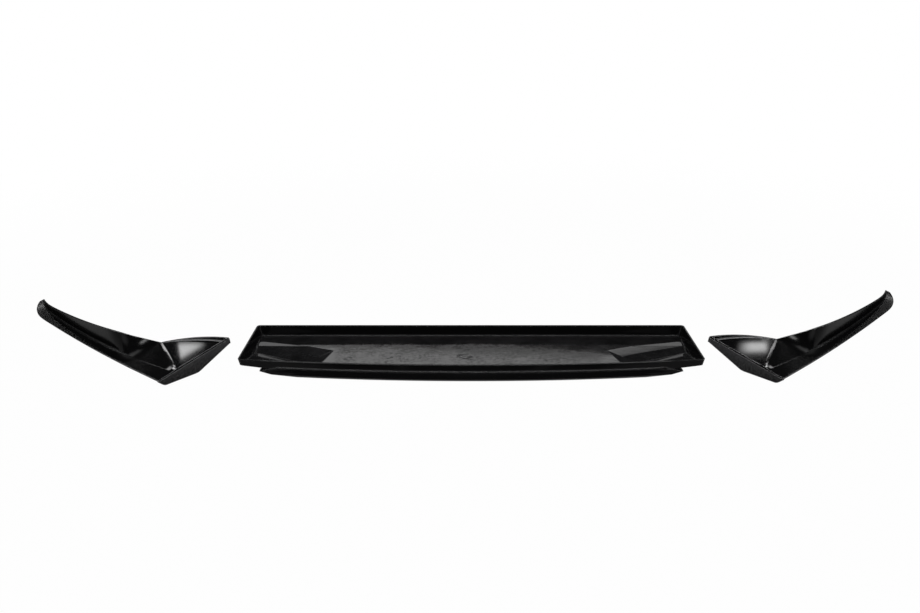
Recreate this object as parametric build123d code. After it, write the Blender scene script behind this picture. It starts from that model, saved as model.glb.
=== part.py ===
from build123d import *
from math import pi, sin
import os

# Front splitter lip in three moulded sections, laid out as a set on a flat surface.
# X runs across the car, Y from the front towards the back, Z up. Millimetres.

# Moulded shell
wall = 3.0                  # thickness of every moulded wall
edge_break = 1.0            # bevel on free edges

# Centre section: a shallow open tray with a lip along its front
centre_length = 848.0       # along the back rim
end_splay = 5.5             # each end of the front rim past the end of the back rim
centre_depth = 189.0        # front to back at each end
centre_height = 32.0        # ground to rim
front_bow = 29.0            # bulge of the front edge past its ends
floor_height = 8.0          # underside of the flat floor above the ground
end_flare = 7.0             # lean of each end wall
back_flare = 3.0            # lean of the back wall
front_lean = 5.0            # how far the front wall's foot stands ahead of its rim in the middle
plan_round = 5.0            # rounding of the tray's upright corners
floor_round = 4.0           # rounding between the floor and the walls, inside

# Lip below the front wall
lip_nose_gap = 58.0         # nose line short of each end of the back rim
lip_tip_gap = 36.0          # the same for the tips at its ends
lip_top_gap = 66.5          # the same for its upper edge
lip_land_gap = 104.0        # the same for its flat underside
lip_reach = 6.5             # nose ahead of the front wall's foot in the middle
lip_end_reach = 4.5         # nose ahead of it at the ends
lip_nose_height = 7.0       # nose line above the ground
lip_tip_height = 12.0       # tips above the ground
lip_top_height = 20.0       # where the lip meets the front wall
lip_top_end = 0.7           # upper edge ahead of the front wall's foot at the ends
lip_break = 2.0             # bevel along the upper edge
lip_land_back = 6.0         # flat underside behind the front wall's foot
lip_land_end = 8.5          # front to back of the flat underside at its ends
lip_end = 12.0              # solid run at each end of the lip

# Keel pockets at both ends of the floor
keel_run = 100.0            # length of the keel's low edge along X
keel_back = 111.0           # low edge at the end wall, behind the front corner
keel_front = 57.0           # low edge at its inner end, behind the front corner
pocket_length = 142.0       # pocket's inner tip from the end wall
pocket_tip = 79.0           # pocket's inner tip, behind the front corner
pocket_back = 140.0         # back of the pocket at the end wall, behind the front corner
corner_rise = 20.0          # the underside rises this far from the keel to the front corner
apron_back = 165.0          # soft start of the pocket at the end wall, behind the front corner
apron_length = 168.0        # inner end of that soft start, from the end wall
apron_tip = 118.0           # inner end of it, behind the front corner
apron_share = 0.3           # share of the pocket's back slope that it takes up

# Corner sections: a swept blade and wall that runs into a cup at its inner end
end_depth = 178.0           # inner end, front to back
blade_width = 35.0          # blade at the inner end
arm_length = 541.5          # inner end to tip
edge_sweep = 109.0          # backward sweep of the blade's front edge over the arm
edge_turn = 0.86            # share of that sweep that is straight
tip_run = 80.0              # length over which the arm hooks back into its tip
tip_hook = 14.0             # backward hook of blade and wall over that run
tip_round = 50.0            # length over which the front edge rounds off
tip_end = 2.5               # flat end of the tip inside the full rounding
tip_cut = 24.0              # depth of that rounding
tip_curl = 4.5              # upward curl of the blade over the same length
crease_sweep = 100.0        # backward sweep of the line where blade and wall meet
crease_turn = 0.46          # share of that sweep that is straight
tip_rise = 20.0             # rise of the blade at the tip
arm_wall_height = 49.5      # wall's straight top line, drawn on to the cup's outer point
tip_wall_height = 10.5      # the same line drawn on to the tip, above the blade before its curl
tip_dip = 6.6               # the top edge dips this far below that line at the tip
wall_lean = 4.0             # lean of the wall over its full height
crease_round = 4.0          # rounding where blade and wall meet
tip_crease_round = 0.3      # the same at the tip
root_end = 215.0            # where the wall has left the cup, from the inner end
root_stations = 7           # steps from the cup's outer point to there
arm_stations = 8            # steps along the arm, closer together towards the tip

# Cup at the inner end of each corner section
cup_reach = 104.0           # cup's outer point from the inner end
cup_point_back = 101.0      # cup's outer point behind the front edge
cup_point_rise = 12.0       # cup's outer point above the end rim
cup_depth = 8.5             # floor below the rim at the back
ridge_back = 45.0           # ridge between ramp and cup at the inner end, behind the front edge
ridge_rise = 0.5            # ridge there above the end rim
ridge_round = 20.0          # rounding of the ridge
rim_break = 2.0             # bevel along the end rim
cup_bulge = 11.0            # bulge of the back wall in plan
heel_back = 11.0            # front foot of the end skirt
heel_drop = 15.0            # its depth below the rim
end_keel_back = 89.0        # lowest place of the end skirt, behind the front edge
keel_drop = 29.0            # its depth below the rim
heel_round = 14.0           # rounding of the skirt's front foot
skirt_round = 30.0          # rounding of its lowest place

# How the corner sections lie beside the centre section
corner_spread = 560.0       # front inner corner from the middle
corner_pitch = 10.0         # front down
left_ahead = 31.0           # front inner corner ahead of the centre's front edge, left section
left_yaw = 53.8             # turn of the inner end out of the X direction, left section
left_roll = 4.0             # tip down, left section
right_ahead = 20.0          # the same for the right section
right_yaw = 51.9
right_roll = 2.6


def lerp(start, end, share):
    return start + (end - start) * share


def plane_through(first, second, third):
    """Plane through three points, facing up."""
    start = Vector(*first)
    normal = (Vector(*second) - start).cross(Vector(*third) - start)
    return Plane(origin=start, z_dir=normal if normal.Z > 0 else -normal)


def centre_outline(z, inset):
    """Plan of the tray at height z, drawn in by inset."""
    share = (z - floor_height) / (centre_height - floor_height)
    half = centre_length / 2 - end_flare * (1 - share) - inset
    front_half = half + end_splay
    back = front_bow + centre_depth - back_flare * (1 - share) - inset
    middle = -front_lean * (1 - share) + inset
    front = front_bow + inset
    sides = Curve() + [
        Line((-half, back), (half, back)),
        Line((half, back), (front_half, front)),
        ThreePointArc((front_half, front), (0, middle), (-front_half, front)),
        Line((-front_half, front), (-half, back)),
    ]
    face = fillet(make_face(sides).vertices(), plan_round + wall - inset)
    return Pos(0, 0, z) * face


def front_line(x):
    """Y of the front wall's foot at x, as a bow through its middle and its ends."""
    return lerp(-front_lean, front_bow, (x / end_foot(0)) ** 2)


def end_foot(behind):
    """X of the end wall's foot, so far behind the front corner."""
    return centre_length / 2 - end_flare + end_splay * (1 - behind / centre_depth)


def lip_outline(gap, ahead, end_ahead, back, z):
    """Plan of the lip at height z: bowed ahead of the front wall's foot, straight at the back."""
    side = centre_length / 2 - gap
    tip = front_line(side) - end_ahead
    edges = Curve() + [
        ThreePointArc((-side, tip), (0, -front_lean - ahead), (side, tip)),
        Polyline((side, tip), (side, back), (-side, back), (-side, tip)),
    ]
    return Pos(0, 0, z) * make_face(edges)


def lip_solid(inset):
    """The lip below the front wall, or its hollow when drawn in by the wall."""
    end = lip_end if inset else 0
    land = -lip_land_back - inset
    back = front_line(centre_length / 2 - lip_land_gap) + lip_land_back + lip_land_end - inset
    nose_height = lip_nose_height + inset / 2
    top = -2 * inset
    top_end = lip_top_end + top
    nose = lip_reach - inset
    nose_end = lip_end_reach - inset
    shoulder = top + lip_break
    shoulder_end = top_end + lip_break
    shoulder_height = lip_top_height - lip_break
    share = (lip_tip_height - nose_height) / (shoulder_height - nose_height)
    point = lerp(nose, shoulder, share)
    point_end = lerp(nose_end, shoulder_end, share)
    roof_back = back + 2 * wall
    return loft([
        lip_outline(lip_land_gap + end, land, land, back, inset),
        lip_outline(lip_nose_gap + end, nose, nose_end, back + wall, nose_height),
        lip_outline(lip_tip_gap + end, point, point_end, roof_back, lip_tip_height),
        lip_outline(lip_top_gap + end, shoulder, shoulder_end, roof_back, shoulder_height),
        lip_outline(lip_top_gap + end, top, top_end, roof_back, lip_top_height),
    ], ruled=True)


def keel_solid(side, inset):
    """Pocket that hangs below the floor at one end, drawn in by inset."""
    top = floor_height + inset + edge_break
    low = inset
    edge_start = Vector(0, pocket_back, top)
    edge_end = Vector(pocket_length, pocket_tip, top)
    low_start = Vector(0, keel_back, low)
    low_end = Vector(keel_run, keel_front, low)
    front = Vector(0, inset, top)
    apron_start = Vector(0, apron_back, top)
    apron_end = Vector(apron_length, apron_tip, top)
    step_start = lerp(edge_start, low_start, apron_share)
    step_end = lerp(edge_end, low_end, apron_share)

    def hull(*corners):
        across = [side * (end_foot(corner.Y) - inset - corner.X) for corner in corners]
        return ConvexPolyhedron([(x, front_bow + place.Y, place.Z) for x, place in zip(across, corners)])

    pocket = hull(edge_start, edge_end, front + Vector(pocket_length, 0), front, low_start, low_end)
    apron = hull(apron_start, apron_end, front + Vector(pocket_length, 0), front, step_start, step_end)
    return pocket + apron


def corner_plane(side, inset):
    """Plane that rises from the keel's low edge to the front corner, lifted by inset."""
    outer = (side * end_foot(keel_back), front_bow + keel_back, 0)
    inner = (side * (end_foot(keel_front) - keel_run), front_bow + keel_front, 0)
    corner = (side * end_foot(0), front_bow, corner_rise)
    return plane_through(outer, inner, corner).offset(inset)


def centre_envelope(inset):
    """The centre section's outer form, or its hollow when drawn in by the wall."""
    shoulder = centre_outline(centre_height - edge_break, inset)
    rim = centre_outline(centre_height, inset - edge_break if inset else edge_break)
    tray = loft([centre_outline(floor_height + inset, inset), shoulder, rim], ruled=True)
    tray = fillet(tray.edges().group_by(Axis.Z)[0], floor_round + wall - inset)
    body = tray + keel_solid(-1, inset) + keel_solid(1, inset)
    for side in (-1, 1):
        body = split(body, bisect_by=corner_plane(side, inset), keep=Keep.TOP)
    return body + lip_solid(inset)


def centre_section():
    """The centre section as one moulding."""
    return centre_envelope(0) - centre_envelope(wall)


ridge_point = Vector(ridge_back, ridge_rise)
cup_point = Vector(cup_point_back, cup_point_rise)


def past_start(y, run):
    """How far y is into a run that ends at the tip, from 0 to 1."""
    return max(0.0, y - (arm_length - run)) / run


def bowed(y, turn):
    """Share of a sweep reached at y, straight by the share turn and bowed by the rest."""
    share = y / arm_length
    return turn * share + (1 - turn) * share ** 2


def hook(y):
    return tip_hook * past_start(y, tip_run) ** 2


def blade_edge(y):
    """X of the blade's front edge at y along the arm, rounded into the tip."""
    rounding = tip_cut * (1 - (1 - past_start(y, tip_round) ** 2) ** 0.5)
    return edge_sweep * bowed(y, edge_turn) + hook(y) + rounding


def crease(y):
    """X of the line where blade and wall meet."""
    return blade_width + crease_sweep * bowed(y, crease_turn) + hook(y)


def arm_rise(y):
    return tip_rise * (y / arm_length) ** 2


def blade_rise(y):
    """Z of the blade, curled up into the tip."""
    return arm_rise(y) + tip_curl * past_start(y, tip_round) ** 2


def wall_line(y):
    """X and Z of the wall's straight top line."""
    share = (y - cup_reach) / (arm_length - cup_reach)
    height = lerp(arm_wall_height, tip_wall_height, share) - tip_dip * past_start(y, tip_round) ** 2
    return Vector(crease(y) + wall_lean * height / arm_wall_height, arm_rise(y) + height)


def wall_top(y):
    """X and Z of the wall's top edge, which sinks to the cup's outer point along the root."""
    left = max(0.0, root_end - y) / (root_end - cup_reach)
    ease = left ** 3 * (4 - 3 * left)
    return wall_line(y) + (cup_point - wall_line(cup_reach)) * ease


def arm_section(y, upper, upright_cut=False):
    """Section of blade and wall across the arm; upper is the wall's top edge."""
    front = Vector(blade_edge(y), blade_rise(y))
    bend = Vector(crease(y), blade_rise(y))
    up = (upper - bend).normalized()
    under = Vector(0, -wall)
    behind = Vector(0, -wall / up.X) if upright_cut else Vector(up.Y, -up.X) * wall
    inner_bend = bend + under + Vector(wall * (1 - up.X) / up.Y, 0)
    top_break = [front + Vector(0, -edge_break), front + Vector(edge_break, 0)]
    low_break = [front + under + Vector(edge_break, 0), front + under + Vector(0, edge_break)]
    points = [*top_break, bend, upper, upper + behind, inner_bend, *low_break]
    radii = [0, 0, lerp(crease_round, tip_crease_round, past_start(y, tip_round)), 0, 0, 0, 0, 0]
    plane = Plane(origin=(0, y, 0), x_dir=(1, 0, 0), z_dir=(0, -1, 0))
    return plane * make_face(FilletPolyline(*points, radius=radii, close=True))


def arm_solid():
    """Blade and wall from the inner end to the tip."""
    ridge = arm_section(0, ridge_point, upright_cut=True)
    ramp = loft([ridge, arm_section(cup_reach, cup_point, upright_cut=True)], ruled=True)
    stations = [lerp(cup_reach, root_end, count / root_stations) for count in range(root_stations)]
    shares = [sin(pi / 2 * count / arm_stations) for count in range(arm_stations + 1)]
    stations += [lerp(root_end, arm_length - tip_end, share) for share in shares]
    return ramp + loft([arm_section(y, wall_top(y)) for y in stations])


def cup_solid():
    """Shallow cup between the ridge, the inner end and a curved back wall."""
    ridge_start = Vector(ridge_back, 0, ridge_rise)
    point = Vector(cup_point_back, cup_reach, cup_point_rise)
    back = Vector(end_depth, 0, 0)
    low = Vector(end_depth, 0, -cup_depth)
    plan_point = Vector(point.X, point.Y)
    chord = plan_point - back
    outward = Vector(chord.Y, -chord.X).normalized()
    back_wall = ThreePointArc(back, back + chord / 2 + outward * cup_bulge, plan_point)
    start = Vector(ridge_start.X, 0)
    outline = make_face(Curve() + [Line(start, back), back_wall, Line(plan_point, start)])
    rim = plane_through(ridge_start, back, point)
    floor = plane_through(ridge_start, low, point)
    reach = end_depth
    outer = extrude(Pos(0, 0, -reach) * outline, 2 * reach)
    outer = split(outer, bisect_by=rim, keep=Keep.BOTTOM)
    under = Plane(floor.origin - Vector(0, 0, wall), z_dir=floor.z_dir)
    outer = split(outer, bisect_by=under, keep=Keep.TOP)
    along = (plan_point - start) / cup_reach
    beyond = start - Vector(2 * wall, 0)
    far = 2 * reach
    corners = [beyond + along * wall, (far, wall), (far, far), beyond + along * far]
    room = make_face(Polyline(*corners, close=True))
    room = room & (Pos(back_wall.arc_center) * Circle(back_wall.radius - wall))
    hollow = extrude(Pos(0, 0, -reach) * room, 2 * reach)
    hollow = split(hollow, bisect_by=floor, keep=Keep.TOP)
    return outer - hollow


def end_skirt():
    """Upright wall that closes the inner end and hangs down to a keel."""
    points = [
        (0, 0),
        (blade_width, 0),
        (ridge_back, ridge_rise),
        (end_depth, 0),
        (end_depth - wall, -cup_depth - wall),
        (end_keel_back, -keel_drop),
        (heel_back, -heel_drop),
        (0, -wall),
    ]
    radii = [0, 0, 0, 0, edge_break, skirt_round, heel_round, 0]
    plane = Plane(origin=(0, 0, 0), x_dir=(1, 0, 0), z_dir=(0, -1, 0))
    return extrude(plane * make_face(FilletPolyline(*points, radius=radii, close=True)), -wall)


def corner_section():
    """Blade, wall, cup and skirt as one moulding, with a soft ridge between ramp and cup."""
    body = arm_solid() + cup_solid() + end_skirt()
    ridge_ends = Vector(ridge_back, 0, ridge_rise), Vector(cup_point_back, cup_reach, cup_point_rise)
    ridge = body.edges().sort_by_distance((ridge_ends[0] + ridge_ends[1]) / 2)[0]
    body = fillet(ridge, ridge_round)
    rim = Plane(origin=(0, rim_break, 0), z_dir=(0, -1, 1))
    return split(body, bisect_by=rim, keep=Keep.BOTTOM)


def laid_corner(section, ahead, yaw, roll):
    """A corner section as it lies to the left of the centre section."""
    turned = Rot(0, 0, yaw) * Rot(-roll, 0, 0) * Rot(0, -corner_pitch, 0) * section
    return Pos(-corner_spread, -ahead, -turned.bounding_box().min.Z) * turned


centre = centre_section()
corner = corner_section()
left = laid_corner(corner, left_ahead, left_yaw, left_roll)
right = mirror(laid_corner(corner, right_ahead, right_yaw, right_roll), about=Plane.YZ)
box = centre.bounding_box().add(left.bounding_box()).add(right.bounding_box())
to_frame = Pos(-box.center().X, -box.center().Y, -box.min.Z)

os.makedirs("parts", exist_ok=True)
for name, section in (("centre_section", centre), ("left_corner", left), ("right_corner", right)):
    export_step(to_frame * section, f"parts/{name}.step")
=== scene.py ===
import math

import bpy
from bpy.props import FloatProperty, FloatVectorProperty, PointerProperty
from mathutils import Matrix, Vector


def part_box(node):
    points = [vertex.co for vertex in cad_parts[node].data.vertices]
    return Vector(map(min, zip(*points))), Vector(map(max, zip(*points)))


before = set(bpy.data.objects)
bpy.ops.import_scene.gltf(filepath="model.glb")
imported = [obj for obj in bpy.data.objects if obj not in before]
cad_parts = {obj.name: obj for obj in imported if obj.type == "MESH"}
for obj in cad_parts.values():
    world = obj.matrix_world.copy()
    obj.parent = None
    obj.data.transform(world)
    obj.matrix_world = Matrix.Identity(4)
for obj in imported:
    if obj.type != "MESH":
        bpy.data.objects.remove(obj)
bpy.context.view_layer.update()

bl_info = {
    "name": "Front Splitter Lip",
    "version": (1, 0, 0),
    "blender": (4, 5, 0),
    "location": "View3D > Sidebar > Splitter",
    "description": "Finishes and studio for a three-section front splitter lip in black plastic",
    "category": "Object",
}

CENTRE = "centre_section"
CORNERS = ("left_corner", "right_corner")
WHITE = (1.0, 1.0, 1.0, 1.0)
LIGHTLESS = (0.0, 0.0, 0.0, 1.0)

# Lengths are in metres. A pair that is used for a fade is where a soft mask starts and where it is full.

# Edges, creases and moulded waves of all three sections; edges and creases get a painted highlight
EDGE_SAMPLES = 6
EDGE_TURN = (0.012, 0.09)
CREASE_SAMPLES = 8
CREASE_REACH = 0.005
CREASE_SHADE = (0.10, 0.34)
GRAIN_PER_WAVE = 9
GRAIN_SHARE = 0.12

# Polishing marks and dust specks
MARK_TURNS = (0.6, -0.9)
MARKS_PER_METRE = (18.0, 900.0, 220.0)
MARK_STRENGTH = (0.66, 0.76)
SPECK_SIZE = (0.05, 0.16)

# Corner sections: arms from arm start outwards, and the skirts that close their inner ends, which carry
# a painted reflection
ARM_START = 0.555
ARM_HAZE = (ARM_START, ARM_START + 0.05)
OUTER_ARM = (ARM_START + 0.08, ARM_START + 0.22)
SKIRT_END = (ARM_START, ARM_START + 0.02)
SKIRT_FACING = (0.55, 0.80)
# Painted reflection on the skirts: paler towards their top, darker towards the ground, with cloudy paler
# patches
SKIRT_REFLECTION_HEIGHT = (0.002, 0.040)
SKIRT_CLOUD_WIDTH = 0.0035
SKIRT_CLOUDS = (0.30, 0.70)
SKIRT_SHEEN = 0.01
SKIRT_CLOUD_SHEEN = 0.09
HAZE_WIDTH = 0.11
HAZE_STRENGTH = (0.40, 0.72)
HAZE_ROUGHNESS = 0.010
MARK_ROUGHNESS = 0.03
CORNER_SPECK_SPACING = 0.006
CORNER_SPECK_SHARE = 0.10
CORNER_SPECK_PALENESS = 0.12
CORNER_SPECK_ROUGHNESS = 0.06
# Strengths of the painted highlight along the corner sections' creases and edges
CORNER_CREASE_HIGHLIGHT = 1.0
CORNER_EDGE_HIGHLIGHT = 0.95
OUTER_ARM_HIGHLIGHT_LOSS = 0.85
CORNER_PEEL = 0.0000009

# Centre section: film of dust, scuffs and the wiped ring on the tray floor
FLOOR_FACING = (0.80, 0.96)
FLOOR_TOP = (0.014, 0.020)
CLOUD_WIDTH = 0.060
MOTTLE_WIDTH = 0.011
CLOUD_SHARE = 0.6
MOTTLE_SHARE = 0.4
FILM_STRENGTH = (0.34, 0.66)
THIN_DUST = 0.022
FILM_DUST = 0.176
WIPED_DUST = 0.7
WIPED_ROUGHNESS = 0.16
SMUDGE_ASIDE = -0.013
SMUDGE_BEHIND = -0.006
SMUDGE_HEIGHT = 0.011
RING_WOBBLE = 0.010
RING_LINE = (0.0010, 0.0056)
RING_GAPS = (0.38, 0.55)
TRAY_SPECK_SPACING = 0.005
TRAY_SPECK_SHARE = 0.16
TRAY_SPECK_PALENESS = 0.4
SATIN_LEAST = 0.5
SATIN_FILM = 2.0
SWEPT_SLOPE = 0.28
SWEPT_LINE = (-0.03, 0.0)
POCKET_START = (0.235, 0.26)
SCUFF_WIDTH = 0.0060
SCUFF_STRENGTH = (0.36, 0.66)
SCUFF_ROUGHNESS = 0.20
# Strengths of the painted highlight along the tray's creases and edges
TRAY_CREASE_HIGHLIGHT = 0.45
TRAY_EDGE_HIGHLIGHT = 0.18
TRAY_PEEL = 0.000004
WARP_WIDTH = 0.045
WARP_DEPTH = 0.00010

# Paper under and behind the sections, with a painted shade on the paper in front of the tray that only
# reflections show
SHADOW_REACH = (0.9, 2.2)
REFLECTED_SHADE_AHEAD = (-0.42, -0.24)
REFLECTED_SHADE_SIDES = (0.34, 0.50)
REFLECTED_SHADE_DARKNESS = 0.9

# Lamps that stand in pairs, to the left and right of the middle
LEFT, RIGHT = -1, 1
LEDGE_ASIDE = 1.25
BAR_ASIDE = 3.24
STREAK_ASIDE = 2.80
STREAK_TOPS = {LEFT: 3.49, RIGHT: 3.62}
STREAK_RISE = 0.52
STREAK_LEAN = 0.423
STREAK_BAND = (0.20, 0.62)
SIDE_LAMP_LOW = 0.8
FILL_ASIDE = 2.5
FILL_AHEAD = 2.1
FILL_HEIGHT = 0.8
FILL_SIZE = (2.4, 1.6)

# Soft lamp in front, which the tray floor shows from behind
FRONT_PLACE = (0.0, -4.0, 2.3)
FRONT_SIZE = (3.6, 1.5)


# Sizes and colours that a user would change

class PlasticProperties(bpy.types.PropertyGroup):
    """Black moulded plastic of all three sections."""

    black: FloatVectorProperty(
        name="Black", description="Body colour of the plastic",
        subtype="COLOR", size=3, min=0.0, max=1.0, default=(0.0030, 0.0030, 0.0032))
    bloom: FloatVectorProperty(
        name="Bloom", description="Paler colour of the plastic where it is slightly hazed",
        subtype="COLOR", size=3, min=0.0, max=1.0, default=(0.0055, 0.0055, 0.0058))
    # Dust colour: real dust on the tray floor and in the specks, but a painted reflection on the corner
    # skirts
    dust: FloatVectorProperty(
        name="Dust", description="Colour of the thin dust on the tray floor and the skirts",
        subtype="COLOR", size=3, min=0.0, max=1.0, default=(0.075, 0.075, 0.078))
    # Edge colour: painted highlight along edges and creases, also used for the painted reflection on the
    # corner skirts
    edge: FloatVectorProperty(
        name="Edge", description="Paler colour of the rubbed edges and creases",
        subtype="COLOR", size=3, min=0.0, max=1.0, default=(0.42, 0.42, 0.425))
    ior: FloatProperty(
        name="IOR", description="Index of refraction of the plastic",
        min=1.0, max=2.0, default=1.27)
    gloss_roughness: FloatProperty(
        name="Gloss roughness", description="Roughness of the polished faces",
        subtype="FACTOR", min=0.0, max=1.0, default=0.035)
    satin_roughness: FloatProperty(
        name="Satin roughness", description="Roughness of the tray floor",
        subtype="FACTOR", min=0.0, max=1.0, default=0.045)
    arm_roughness: FloatProperty(
        name="Arm roughness", description="Roughness of the hazed arms of the corner sections",
        subtype="FACTOR", min=0.0, max=1.0, default=0.17)
    edge_round: FloatProperty(
        name="Edge rounding", description="Radius of the soft edges and creases of the mouldings",
        unit="LENGTH", min=0.0001, default=0.0022)
    peel_size: FloatProperty(
        name="Orange peel", description="Width of one wave of the moulded surface",
        unit="LENGTH", min=0.0005, default=0.009)
    smudge_width: FloatProperty(
        name="Smudge", description="Width of the wiped ring on the tray floor",
        unit="LENGTH", min=0.001, default=0.022)


class StudioProperties(bpy.types.PropertyGroup):
    """Floor, backdrop, lamps and camera."""

    floor_reach: FloatProperty(
        name="Floor", description="Distance from the middle to the floor's edge",
        unit="LENGTH", min=1.0, default=30.0)
    backdrop_away: FloatProperty(
        name="Backdrop", description="Distance from the middle to the backdrop",
        unit="LENGTH", min=1.0, default=6.0)
    backdrop_height: FloatProperty(
        name="Backdrop height", description="Height of the backdrop's upper edge",
        unit="LENGTH", min=0.1, default=1.2)
    backdrop_width: FloatProperty(
        name="Backdrop width", description="Width of the backdrop",
        unit="LENGTH", min=0.1, default=30.0)
    paper: FloatVectorProperty(
        name="Paper", description="Colour of floor and backdrop",
        subtype="COLOR", size=3, min=0.0, max=1.0, default=(0.55, 0.55, 0.55))
    shadow_share: FloatProperty(
        name="Shadow share",
        description="How much of the floor's look near the sections comes from the lamps",
        subtype="FACTOR", min=0.0, max=1.0, default=0.015)
    mirrored_share: FloatProperty(
        name="Mirrored share", description="How much of the paper's white shows in reflections",
        subtype="FACTOR", min=0.0, max=1.0, default=0.10)
    lamps_away: FloatProperty(
        name="Lamp distance", description="Distance from the middle to the lamps behind",
        unit="LENGTH", min=0.5, default=4.0)
    window_radiance: FloatProperty(
        name="Window brightness",
        description="Brightness of the two windows behind against white paper",
        min=0.0, default=9.5)
    panel_radiance: FloatProperty(
        name="Panel brightness",
        description="Brightness of the soft panels behind against white paper",
        min=0.0, default=1.4)
    bar_radiance: FloatProperty(
        name="Bar brightness",
        description="Brightness of the two upright bar lights against white paper",
        min=0.0, default=4.0)
    streak_radiance: FloatProperty(
        name="Streak brightness",
        description="Brightness of the two lights that draw a streak beside the cups",
        min=0.0, default=10.0)
    side_away: FloatProperty(
        name="Side light distance", description="Distance from the middle to each side light",
        unit="LENGTH", min=0.5, default=2.45)
    side_behind: FloatProperty(
        name="Side light place", description="How far each side light stands behind the middle",
        unit="LENGTH", default=0.55)
    side_width: FloatProperty(
        name="Side light width", description="Width of each upright side light",
        unit="LENGTH", min=0.1, default=0.9)
    side_top: FloatProperty(
        name="Side light height", description="Height of each side light's upper edge",
        unit="LENGTH", min=0.1, default=3.8)
    side_radiance: FloatProperty(
        name="Side light brightness",
        description="Brightness of each side light against white paper",
        min=0.0, default=1.3)
    fill_radiance: FloatProperty(
        name="Fill light brightness",
        description="Brightness of the three soft lights in front against white paper",
        min=0.0, default=0.8)
    top_height: FloatProperty(
        name="Overhead light height", description="Height of the overhead strip",
        unit="LENGTH", min=0.5, default=2.6)
    top_behind: FloatProperty(
        name="Overhead light place",
        description="How far the overhead strip hangs behind the middle",
        unit="LENGTH", default=-0.9)
    top_width: FloatProperty(
        name="Overhead light width", description="Width of the overhead strip",
        unit="LENGTH", min=0.1, default=2.5)
    top_depth: FloatProperty(
        name="Overhead light depth", description="Depth of the overhead strip",
        unit="LENGTH", min=0.05, default=0.4)
    top_radiance: FloatProperty(
        name="Overhead light brightness",
        description="Brightness of the overhead strip against white paper",
        min=0.0, default=11.0)
    room: FloatVectorProperty(
        name="Room", description="Dim light of the room around the studio",
        subtype="COLOR", size=3, min=0.0, max=1.0, default=(0.02, 0.02, 0.021))
    room_share: FloatProperty(
        name="Room share",
        description="How much of the white around the studio shows in reflections",
        subtype="FACTOR", min=0.0, max=1.0, default=0.01)
    lens: FloatProperty(
        name="Lens", description="Focal length in millimetres", min=1.0, default=45.0)
    sensor: FloatProperty(
        name="Sensor", description="Width of the camera's sensor in millimetres",
        min=1.0, default=36.0)
    camera_down: FloatProperty(
        name="Camera tilt", description="How far the camera looks below level",
        subtype="ANGLE", unit="ROTATION", default=math.radians(18.487))
    camera_ahead: FloatProperty(
        name="Camera distance", description="Camera in front of the centre section's nose",
        unit="LENGTH", default=1.9258)
    camera_height: FloatProperty(
        name="Camera height", description="Camera above the floor",
        unit="LENGTH", default=0.7912)
    camera_aside: FloatProperty(
        name="Camera offset", description="Camera to the left of the centre section's middle",
        unit="LENGTH", default=0.0208)


# Shader arithmetic

class Wire:
    """One value in a node tree. Arithmetic on it adds Math nodes."""

    def __init__(self, finish, socket):
        self.finish = finish
        self.socket = socket

    def out(self, name):
        """Another output of the same node."""
        return Wire(self.finish, self.socket.node.outputs[name])

    def maths(self, operation, *values):
        inputs = dict(enumerate(values))
        return self.finish.node("ShaderNodeMath", {"operation": operation}, inputs)

    def __add__(self, other):
        return self.maths("ADD", self, other)

    def __radd__(self, other):
        return self.maths("ADD", other, self)

    def __sub__(self, other):
        return self.maths("SUBTRACT", self, other)

    def __rsub__(self, other):
        return self.maths("SUBTRACT", other, self)

    def __mul__(self, other):
        return self.maths("MULTIPLY", self, other)

    def __rmul__(self, other):
        return self.maths("MULTIPLY", other, self)

    def __abs__(self):
        return self.maths("ABSOLUTE", self)

    def either(self, other):
        """The larger of two masks."""
        return self.maths("MAXIMUM", self, other)


class Finish:
    """A material, lamp or world whose nodes are added one by one."""

    def __init__(self, tree):
        self.tree = tree
        self.tree.nodes.clear()

    def node(self, kind, settings=None, inputs=None):
        """Adds a node, makes its settings, fills its sockets and returns its first output."""
        made = self.tree.nodes.new(kind)
        for name, value in (settings or {}).items():
            setattr(made, name, value)
        for name, value in (inputs or {}).items():
            if isinstance(value, Wire):
                self.tree.links.new(value.socket, made.inputs[name])
            else:
                made.inputs[name].default_value = value
        return Wire(self, made.outputs[0]) if made.outputs else None

    def object_place(self):
        return self.node("ShaderNodeTexCoord").out("Object")

    def facing(self):
        """Direction of the surface, without soft edges."""
        return self.node("ShaderNodeNewGeometry").out("Normal")

    def parts(self, vector):
        """X, Y and Z of a vector, as three outputs."""
        return self.node("ShaderNodeSeparateXYZ", None, {"Vector": vector})

    def vector_maths(self, operation, *vectors):
        inputs = dict(enumerate(vectors))
        return self.node("ShaderNodeVectorMath", {"operation": operation}, inputs)

    def noise(self, place, wave, detail=3.0, roughness=0.55):
        """Cloudy pattern from 0 to 1, whose clouds are one wave wide."""
        inputs = {"Vector": place, "Scale": 1.0 / wave, "Detail": detail, "Roughness": roughness}
        return self.node("ShaderNodeTexNoise", {"noise_dimensions": "3D"}, inputs).out("Fac")

    def fade(self, value, start, end):
        """0 below start, 1 above end, smooth between."""
        settings = {"interpolation_type": "SMOOTHSTEP"}
        inputs = {"Value": value, "From Min": start, "From Max": end, "To Min": 0.0, "To Max": 1.0}
        return self.node("ShaderNodeMapRange", settings, inputs)

    def blend(self, share, first, second):
        """Mix of two colours."""
        inputs = {"Factor": share, 6: first, 7: second}
        return self.node("ShaderNodeMix", {"data_type": "RGBA"}, inputs).out(2)


def colour(value):
    return (*value, 1.0)


def new_finish(name):
    material = bpy.data.materials.new(name)
    material.use_nodes = True
    return material, Finish(material.node_tree)


# Finishes of the sections

def rounded_normal(finish, plastic):
    """Surface direction with soft edges and creases."""
    return finish.node("ShaderNodeBevel", {"samples": EDGE_SAMPLES}, {"Radius": plastic.edge_round})


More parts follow.
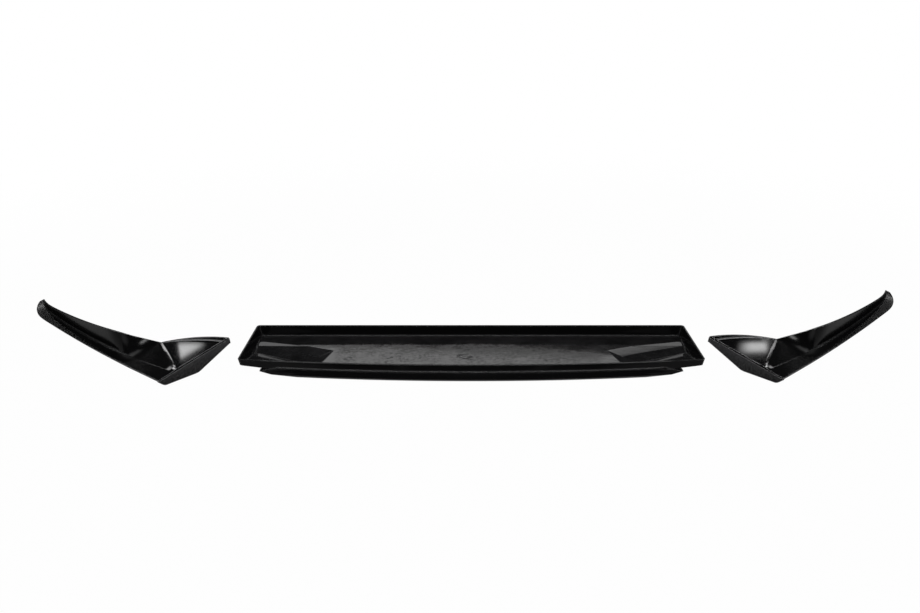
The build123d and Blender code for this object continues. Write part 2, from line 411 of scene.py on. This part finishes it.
def moulded_bump(finish, place, plastic, rounded, depth, warp=0.0):
    """Slow waves of the moulded surface with a finer grain on them, and a warp in metres."""
    waves = finish.noise(place, plastic.peel_size, detail=2.0)
    grain = finish.noise(place, plastic.peel_size / GRAIN_PER_WAVE, detail=2.0)
    height = depth * (waves + GRAIN_SHARE * grain) + warp
    return finish.node("ShaderNodeBump", None, {
        "Strength": 1.0, "Distance": 1.0, "Height": height, "Normal": rounded})


def painted_edge_highlights(finish, rounded, crease_highlight_share):
    """Mask of the painted highlight along edges, where the rounded direction leaves that of the face,
    and along creases.
    """
    along = finish.vector_maths("DOT_PRODUCT", rounded, finish.facing()).out("Value")
    edges = finish.fade(1.0 - along, *EDGE_TURN)
    near = {"samples": CREASE_SAMPLES, "only_local": True}
    reach = {"Distance": CREASE_REACH}
    open_share = finish.node("ShaderNodeAmbientOcclusion", near, reach).out("AO")
    creases = finish.fade(1.0 - open_share, *CREASE_SHADE)
    return edges.either(crease_highlight_share * creases)


def fine_scratches(finish, place, turn):
    """Hairline polishing marks along one direction, as a mask from 0 to 1."""
    stretched = finish.node("ShaderNodeMapping", None, {
        "Vector": place, "Rotation": (0.0, 0.0, turn), "Scale": MARKS_PER_METRE})
    streaks = finish.node("ShaderNodeTexNoise", None, {
        "Vector": stretched, "Scale": 1.0, "Detail": 2.0})
    return finish.fade(streaks.out("Fac"), *MARK_STRENGTH)


def dust_specks(finish, place, spacing, share):
    """Scattered specks of dust, as a mask from 0 to 1."""
    cells = finish.node("ShaderNodeTexVoronoi", {"feature": "F1"}, {
        "Vector": place, "Scale": 1.0 / spacing})
    chance = finish.node("ShaderNodeSeparateColor", None, {"Color": cells.out("Color")}).out("Red")
    chosen = finish.fade(chance, 1.0 - share, 1.0 - share / 2)
    return (1.0 - finish.fade(cells.out("Distance"), *SPECK_SIZE)) * chosen


def plastic_shader(finish, base, roughness, normal, plastic):
    shader = finish.node("ShaderNodeBsdfPrincipled", None, {
        "Base Color": base, "Roughness": roughness, "Normal": normal, "IOR": plastic.ior})
    finish.node("ShaderNodeOutputMaterial", None, {"Surface": shader})


def polished_black(plastic):
    """High gloss black of the corner sections, hazed on the arms, with a painted reflection on the
    skirts that is paler towards their top.
    """
    material, finish = new_finish("polished_black")
    place = finish.object_place()
    spot = finish.parts(place)
    aside = abs(spot.out("X"))
    haze = finish.fade(finish.noise(place, HAZE_WIDTH), *HAZE_STRENGTH)
    specks = dust_specks(finish, place, CORNER_SPECK_SPACING, CORNER_SPECK_SHARE)
    first_turn, second_turn = MARK_TURNS
    marks = fine_scratches(finish, place, first_turn)
    marks = marks.either(fine_scratches(finish, place, second_turn))
    arm = finish.fade(aside, *ARM_HAZE)
    outer_arm = finish.fade(aside, *OUTER_ARM)
    sideways = abs(finish.parts(finish.facing()).out("X"))
    skirt = finish.fade(sideways, *SKIRT_FACING) * (1.0 - finish.fade(aside, *SKIRT_END))
    painted_reflection_height = finish.fade(spot.out("Z"), *SKIRT_REFLECTION_HEIGHT)
    cloudy = finish.fade(finish.noise(place, SKIRT_CLOUD_WIDTH), *SKIRT_CLOUDS)

    base = finish.blend(haze, colour(plastic.black), colour(plastic.bloom))
    base = finish.blend(specks * CORNER_SPECK_PALENESS, base, colour(plastic.dust))
    # Painted reflection on the skirts: dust colour rising towards their top, then a cloudy sheen in the
    # edge colour
    base = finish.blend(skirt * painted_reflection_height, base, colour(plastic.dust))
    base = finish.blend(skirt * (SKIRT_SHEEN + SKIRT_CLOUD_SHEEN * cloudy), base, colour(plastic.edge))
    rounded = rounded_normal(finish, plastic)
    # Painted highlight along edges and creases in the edge colour, weaker on the outer arms
    highlight_strength = CORNER_EDGE_HIGHLIGHT - OUTER_ARM_HIGHLIGHT_LOSS * outer_arm
    highlighted = painted_edge_highlights(finish, rounded, CORNER_CREASE_HIGHLIGHT) * highlight_strength
    base = finish.blend(highlighted, base, colour(plastic.edge))

    hazed = plastic.arm_roughness - plastic.gloss_roughness
    roughness = plastic.gloss_roughness + hazed * arm + HAZE_ROUGHNESS * haze
    roughness = roughness + MARK_ROUGHNESS * marks + CORNER_SPECK_ROUGHNESS * specks
    normal = moulded_bump(finish, place, plastic, rounded, CORNER_PEEL)
    plastic_shader(finish, base, roughness, normal, plastic)
    return material


def wiped_ring(finish, place, mottle, smudge_place, width):
    """Broken ring that a cloth left in the dust, as a mask from 0 to 1."""
    offset = finish.vector_maths("SUBTRACT", place, smudge_place)
    away = finish.vector_maths("LENGTH", offset).out("Value")
    from_line = abs(away + RING_WOBBLE * (mottle - 0.5) - width / 2)
    return (1.0 - finish.fade(from_line, *RING_LINE)) * finish.fade(mottle, *RING_GAPS)


def tray_black(plastic, smudge_place):
    """Gloss black walls with a satin floor under a film of dust."""
    material, finish = new_finish("tray_black")
    place = finish.object_place()
    spot = finish.parts(place)
    upward = finish.fade(finish.parts(finish.facing()).out("Z"), *FLOOR_FACING)
    floor = upward * (1.0 - finish.fade(spot.out("Z"), *FLOOR_TOP))
    clouds = finish.noise(place, CLOUD_WIDTH, detail=5.0, roughness=0.62)
    mottle = finish.noise(place, MOTTLE_WIDTH, detail=4.0, roughness=0.6)
    film = finish.fade(clouds * CLOUD_SHARE + mottle * MOTTLE_SHARE, *FILM_STRENGTH)
    wiped = wiped_ring(finish, place, mottle, smudge_place, plastic.smudge_width)
    specks = dust_specks(finish, place, TRAY_SPECK_SPACING, TRAY_SPECK_SHARE)
    swept = finish.fade(spot.out("Y") + SWEPT_SLOPE * spot.out("X"), *SWEPT_LINE)
    pockets = finish.fade(abs(spot.out("X")), *POCKET_START)
    scuffs = finish.fade(finish.noise(place, SCUFF_WIDTH), *SCUFF_STRENGTH)
    scuffs = scuffs * (1.0 - swept.either(pockets))

    dust = floor * (THIN_DUST + FILM_DUST * film) * (1.0 - WIPED_DUST * wiped)
    base = finish.blend(dust, colour(plastic.bloom), colour(plastic.dust))
    base = finish.blend(specks * TRAY_SPECK_PALENESS, base, colour(plastic.dust))
    rounded = rounded_normal(finish, plastic)
    # Painted highlight along edges and creases in the edge colour
    highlighted = painted_edge_highlights(finish, rounded, TRAY_CREASE_HIGHLIGHT) * TRAY_EDGE_HIGHLIGHT
    base = finish.blend(highlighted, base, colour(plastic.edge))

    satin = plastic.satin_roughness - plastic.gloss_roughness
    filmed = satin * (SATIN_LEAST + SATIN_FILM * film)
    worn = SCUFF_ROUGHNESS * scuffs * film + WIPED_ROUGHNESS * wiped
    roughness = plastic.gloss_roughness + floor * (filmed + worn)
    warp = floor * WARP_DEPTH * finish.noise(place, WARP_WIDTH, roughness=0.5)
    normal = moulded_bump(finish, place, plastic, rounded, TRAY_PEEL, warp)
    plastic_shader(finish, base, roughness, normal, plastic)
    return material


def dress(name, material):
    """Gives a CAD section its finish."""
    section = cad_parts[name]
    section.data.materials.clear()
    section.data.materials.append(material)


class SPLITTER_OT_finish_centre(bpy.types.Operator):
    """Finishes the centre section in gloss black with a film of dust on its floor"""

    bl_idname = "splitter.finish_centre"
    bl_label = "Finish centre section"

    def execute(self, context):
        low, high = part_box(CENTRE)
        across = (low.x + high.x) / 2 + SMUDGE_ASIDE
        behind = (low.y + high.y) / 2 + SMUDGE_BEHIND
        smudge = Vector((across, behind, SMUDGE_HEIGHT))
        dress(CENTRE, tray_black(context.scene.splitter_plastic, smudge))
        return {"FINISHED"}


class SPLITTER_OT_finish_corners(bpy.types.Operator):
    """Finishes both corner sections in high gloss black"""

    bl_idname = "splitter.finish_corners"
    bl_label = "Finish corner sections"

    def execute(self, context):
        material = polished_black(context.scene.splitter_plastic)
        for name in CORNERS:
            dress(name, material)
        return {"FINISHED"}


# Studio

def mirrored_rays(path):
    """1 for rays that come from a reflection or through something clear."""
    return path.out("Is Glossy Ray").either(path.out("Is Transmission Ray"))


def paper_finish(studio):
    """Paper that is white to the camera, dimmer in reflections, and shadowed near the sections."""
    material, finish = new_finish("studio_paper")
    path = finish.node("ShaderNodeLightPath")
    place = finish.object_place()
    spot = finish.parts(place)
    near = 1.0 - finish.fade(finish.vector_maths("LENGTH", place).out("Value"), *SHADOW_REACH)
    # Painted shade on the paper in front of the tray, dark only to reflected rays
    ahead = 1.0 - finish.fade(spot.out("Y"), *REFLECTED_SHADE_AHEAD)
    between = 1.0 - finish.fade(abs(spot.out("X")), *REFLECTED_SHADE_SIDES)
    reflected_shade = REFLECTED_SHADE_DARKNESS * ahead * between
    mirrored = mirrored_rays(path) * studio.mirrored_share * (1.0 - reflected_shade)
    seen = path.out("Is Camera Ray") * (1.0 - near * studio.shadow_share)
    grey = finish.blend(reflected_shade * path.out("Is Glossy Ray"), colour(studio.paper), LIGHTLESS)
    lit = finish.node("ShaderNodeBsdfDiffuse", None, {"Color": grey})
    white = finish.node("ShaderNodeEmission", None, {"Color": WHITE, "Strength": 1.0})
    shader = finish.node("ShaderNodeMixShader", None, {0: seen.either(mirrored), 1: lit, 2: white})
    finish.node("ShaderNodeOutputMaterial", None, {"Surface": shader})
    return material


def studio_sheet(name, width, depth, place, tilt, material):
    """A flat sheet of studio paper."""
    bpy.ops.object.select_all(action="DESELECT")
    bpy.ops.mesh.primitive_plane_add(size=1.0)
    sheet = bpy.context.object
    sheet.name = name
    sheet.scale = (width, depth, 1.0)
    sheet.rotation_euler = (tilt, 0.0, 0.0)
    sheet.location = place
    bpy.ops.object.transform_apply(location=True, rotation=True, scale=True)
    sheet.data.materials.append(material)


def border(start, soft, right=0.0, rise=0.0):
    """One straight soft edge on a lamp's face, which is lit where a sum passes start.

    The sum is right times the share from left to right, plus rise times the share from low to high.
    """
    return right, rise, start, soft


def soft_sides(soft):
    """Borders that fade a lamp out to the left and to the right."""
    return border(start=0.0, soft=soft, right=1.0), border(start=-1.0, soft=soft, right=-1.0)


def soft_top(soft):
    return border(start=-1.0, soft=soft, rise=-1.0)


def soft_foot(soft):
    return border(start=0.0, soft=soft, rise=1.0)


def soft_rim(soft):
    """Borders that fade a lamp out towards all four sides."""
    return (*soft_sides(soft), soft_foot(soft), soft_top(soft))


def streak_band(side):
    """Borders of a band that slants across a lamp's face, mirrored from left to right."""
    low, high = STREAK_BAND
    lean = side * STREAK_LEAN
    shift = min(lean, 0.0)
    return (*soft_sides(0.15),
            border(start=shift - high, soft=0.06, right=lean, rise=-1.0),
            border(start=low - shift, soft=0.06, right=-lean, rise=1.0))


def soft_lamp(name, place, size, radiance, borders=(), toward=(0.0, 0.0, 0.0)):
    """A rectangular lamp turned to a point, radiance times as bright as white paper."""
    data = bpy.data.lights.new(name, "AREA")
    data.shape = "RECTANGLE"
    data.size, data.size_y = size
    data.energy = radiance * math.pi * data.size * data.size_y
    data.use_nodes = True
    finish = Finish(data.node_tree)
    face = finish.parts(finish.node("ShaderNodeNewGeometry").out("Parametric"))
    rightward = 1.0 - face.out("X")
    upward = face.out("Y")
    glow = 1.0
    for right, rise, start, soft in borders:
        glow = glow * finish.fade(right * rightward + rise * upward, start, start + soft)
    shade = finish.node("ShaderNodeCombineColor", None, {"Red": glow, "Green": glow, "Blue": glow})
    light = finish.node("ShaderNodeEmission", None, {"Color": shade, "Strength": 1.0})
    finish.node("ShaderNodeOutputLight", None, {"Surface": light})
    lamp = bpy.data.objects.new(name, data)
    lamp.location = place
    lamp.rotation_euler = (Vector(toward) - Vector(place)).to_track_quat("-Z", "Y").to_euler()
    lamp.visible_camera = False
    bpy.context.scene.collection.objects.link(lamp)


def upright_lamp(name, away, radiance, sides, heights, borders):
    """A soft lamp that stands straight behind the sections, between two sides and two heights."""
    left, right = sides
    low, high = heights
    across, middle = (left + right) / 2, (low + high) / 2
    soft_lamp(name, (across, away, middle), (right - left, high - low), radiance, borders,
              toward=(across, 0.0, middle))


def around(middle, width):
    """Both sides of something that is width wide."""
    return middle - width / 2, middle + width / 2


class SPLITTER_OT_studio(bpy.types.Operator):
    """Lays the paper, hangs the lamps and sets the camera"""

    bl_idname = "splitter.studio"
    bl_label = "Build studio"

    def execute(self, context):
        studio = context.scene.splitter_studio
        paper = paper_finish(studio)
        reach = 2 * studio.floor_reach
        studio_sheet("floor", reach, reach, (0.0, 0.0, 0.0), 0.0, paper)
        middle = studio.backdrop_height / 2
        studio_sheet("backdrop", studio.backdrop_width, studio.backdrop_height,
                     (0.0, studio.backdrop_away, middle), math.pi / 2, paper)
        self.hang_highlights(studio)
        self.hang_paired_highlights(studio)
        self.hang_room_lamps(studio)
        self.dim_room(context.scene, studio)
        self.set_camera(context.scene, studio)
        context.scene.view_settings.view_transform = "Standard"
        return {"FINISHED"}

    def hang_highlights(self, studio):
        """Windows that the cups show, and panels that the tray floor and its left pocket show."""
        away = studio.lamps_away
        upright_lamp(
            "left_window", away, studio.window_radiance,
            sides=(-1.78, -1.40), heights=(2.70, 3.10), borders=(
                border(start=-0.354, soft=0.02, right=-0.2533, rise=-0.40),
                border(start=0.56, soft=0.04, rise=1.0)))
        upright_lamp(
            "right_window", away, studio.window_radiance,
            sides=(1.60, 1.90), heights=(2.95, 3.25), borders=(
                border(start=0.23, soft=0.37, right=1.0),
                border(start=-0.98, soft=0.12, right=-1.0),
                border(start=0.65, soft=0.05, rise=1.0),
                soft_top(0.17)))
        upright_lamp(
            "panel_lamp", away, studio.panel_radiance,
            sides=(-1.7, 1.9), heights=(1.48, 2.12), borders=(
                border(start=-1.0, soft=0.30, right=-1.0),
                border(start=-0.014, soft=0.045, right=-0.215, rise=1.0),
                border(start=-0.20, soft=0.25, right=1.4, rise=-1.0),
                border(start=-1.94, soft=0.30, right=-1.4, rise=-1.0),
                soft_top(0.25)))
        upright_lamp(
            "pocket_lamp", away, studio.panel_radiance,
            sides=(-1.50, -0.80), heights=(1.82, 2.00), borders=(
                border(start=0.0, soft=0.2, right=1.0),
                border(start=-1.0, soft=0.6, right=-1.0),
                soft_foot(0.3),
                soft_top(0.3)))

    def hang_paired_highlights(self, studio):
        """Lamps that the pockets' rims, the arms and the creases beside the cups show."""
        away = studio.lamps_away
        for side in (LEFT, RIGHT):
            upright_lamp(
                "ledge_lamp", away, studio.panel_radiance,
                sides=around(side * LEDGE_ASIDE, width=0.60), heights=(2.14, 2.36),
                borders=soft_rim(0.3))
            upright_lamp(
                "bar_lamp", away, studio.bar_radiance,
                sides=around(side * BAR_ASIDE, width=0.24), heights=(2.4, 3.5),
                borders=soft_rim(0.2))
            top = STREAK_TOPS[side]
            upright_lamp(
                "streak_lamp", away, studio.streak_radiance,
                sides=around(side * STREAK_ASIDE, width=1.0), heights=(top - STREAK_RISE, top),
                borders=streak_band(side))

    def hang_room_lamps(self, studio):
        """Overhead strip, upright lights at both sides and soft lights in front."""
        soft_lamp("overhead_lamp", (0.0, studio.top_behind, studio.top_height),
                  (studio.top_width, studio.top_depth), studio.top_radiance)
        soft_lamp("front_lamp", FRONT_PLACE, FRONT_SIZE, studio.fill_radiance, soft_rim(0.35))
        side_height = studio.side_top - SIDE_LAMP_LOW
        middle = SIDE_LAMP_LOW + side_height / 2
        for side in (LEFT, RIGHT):
            soft_lamp("side_lamp", (side * studio.side_away, studio.side_behind, middle),
                      (studio.side_width, side_height), studio.side_radiance,
                      soft_rim(0.2), toward=(0.0, 0.0, middle))
            soft_lamp("fill_lamp", (side * FILL_ASIDE, -FILL_AHEAD, FILL_HEIGHT),
                      FILL_SIZE, studio.fill_radiance,
                      (*soft_sides(0.4), soft_top(0.7)), toward=(0.0, 0.0, FILL_HEIGHT))

    def dim_room(self, scene, studio):
        """White to the camera, almost dark to everything else."""
        scene.world = bpy.data.worlds.new("dim_room")
        scene.world.use_nodes = True
        finish = Finish(scene.world.node_tree)
        path = finish.node("ShaderNodeLightPath")
        seen = path.out("Is Camera Ray").either(mirrored_rays(path) * studio.room_share)
        shade = finish.blend(seen, colour(studio.room), WHITE)
        glow = finish.node("ShaderNodeBackground", None, {"Color": shade, "Strength": 1.0})
        finish.node("ShaderNodeOutputWorld", None, {"Surface": glow})

    def set_camera(self, scene, studio):
        low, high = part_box(CENTRE)
        data = bpy.data.cameras.new("photo_camera")
        data.lens = studio.lens
        data.sensor_width = studio.sensor
        camera = bpy.data.objects.new("photo_camera", data)
        across = (low.x + high.x) / 2 - studio.camera_aside
        camera.location = (across, low.y - studio.camera_ahead, studio.camera_height)
        camera.rotation_euler = (math.pi / 2 - studio.camera_down, 0.0, 0.0)
        scene.collection.objects.link(camera)
        scene.camera = camera


class SPLITTER_PT_panel(bpy.types.Panel):
    """Sizes, colours and steps of the splitter lip"""

    bl_idname = "SPLITTER_PT_panel"
    bl_label = "Front Splitter Lip"
    bl_space_type = "VIEW_3D"
    bl_region_type = "UI"
    bl_category = "Splitter"

    def draw(self, context):
        for settings in (context.scene.splitter_plastic, context.scene.splitter_studio):
            box = self.layout.box()
            for name in settings.bl_rna.properties.keys():
                if name not in ("rna_type", "name"):
                    box.prop(settings, name)
        for step in STEPS:
            self.layout.operator(step.bl_idname)


STEPS = (SPLITTER_OT_finish_centre, SPLITTER_OT_finish_corners, SPLITTER_OT_studio)
CLASSES = (PlasticProperties, StudioProperties, *STEPS, SPLITTER_PT_panel)


def register():
    for cls in CLASSES:
        bpy.utils.register_class(cls)
    bpy.types.Scene.splitter_plastic = PointerProperty(type=PlasticProperties)
    bpy.types.Scene.splitter_studio = PointerProperty(type=StudioProperties)


def unregister():
    del bpy.types.Scene.splitter_studio
    del bpy.types.Scene.splitter_plastic
    for cls in reversed(CLASSES):
        bpy.utils.unregister_class(cls)


def main():
    register()
    bpy.ops.splitter.finish_centre()
    bpy.ops.splitter.finish_corners()
    bpy.ops.splitter.studio()


if __name__ == "__main__":
    main()
